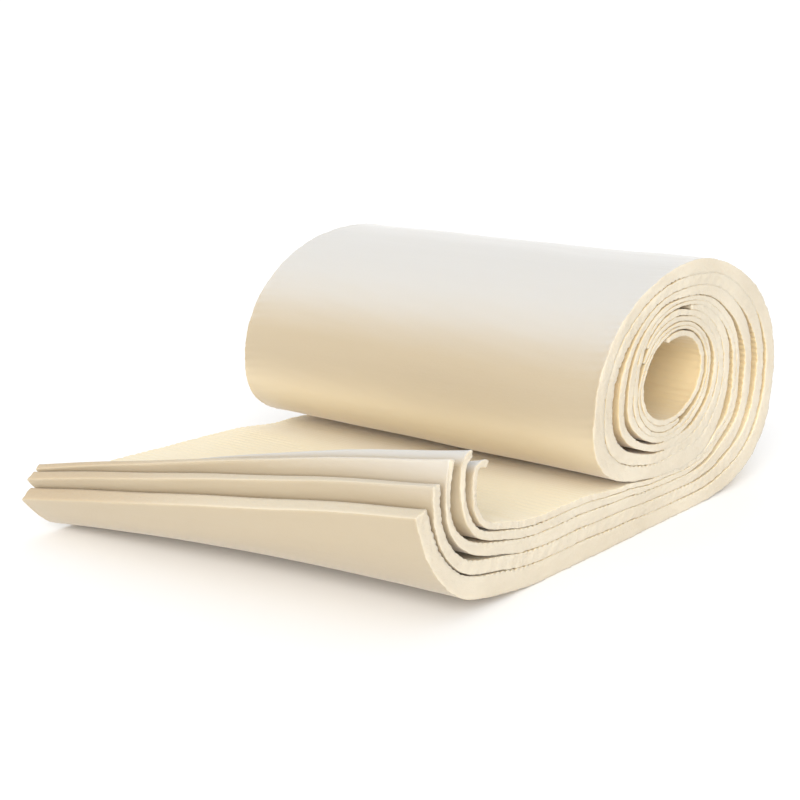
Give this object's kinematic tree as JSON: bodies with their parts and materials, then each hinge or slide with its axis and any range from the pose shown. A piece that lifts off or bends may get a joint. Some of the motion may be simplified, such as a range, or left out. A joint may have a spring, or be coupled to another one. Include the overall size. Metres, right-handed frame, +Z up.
{
  "type": "roll of felt",
  "caption": "Stack of thick cream felt strips rolled up together, standing on a flat tongue whose free front edges curl up into nested lips.",
  "frame": {"origin": "on the ground, under the middle of the whole bundle's box", "axes": "+X along the roll, from the far end to the near end whose winding is seen; +Y from the curled front edges towards the roll; +Z up"},
  "size_m": [0.15, 0.24, 0.0892],
  "materials": {
    "sheet_1": "matte pressed felt",
    "sheet_2": "matte pressed felt",
    "sheet_3": "matte pressed felt",
    "sheet_4": "matte pressed felt",
    "sheet_5": "matte pressed felt"
  },
  "bodies": {
    "root": {"sheet_1": "sheet_1", "sheet_2": "sheet_2", "sheet_3": "sheet_3", "sheet_4": "sheet_4", "sheet_5": "sheet_5"}
  },
  "joints": []
}
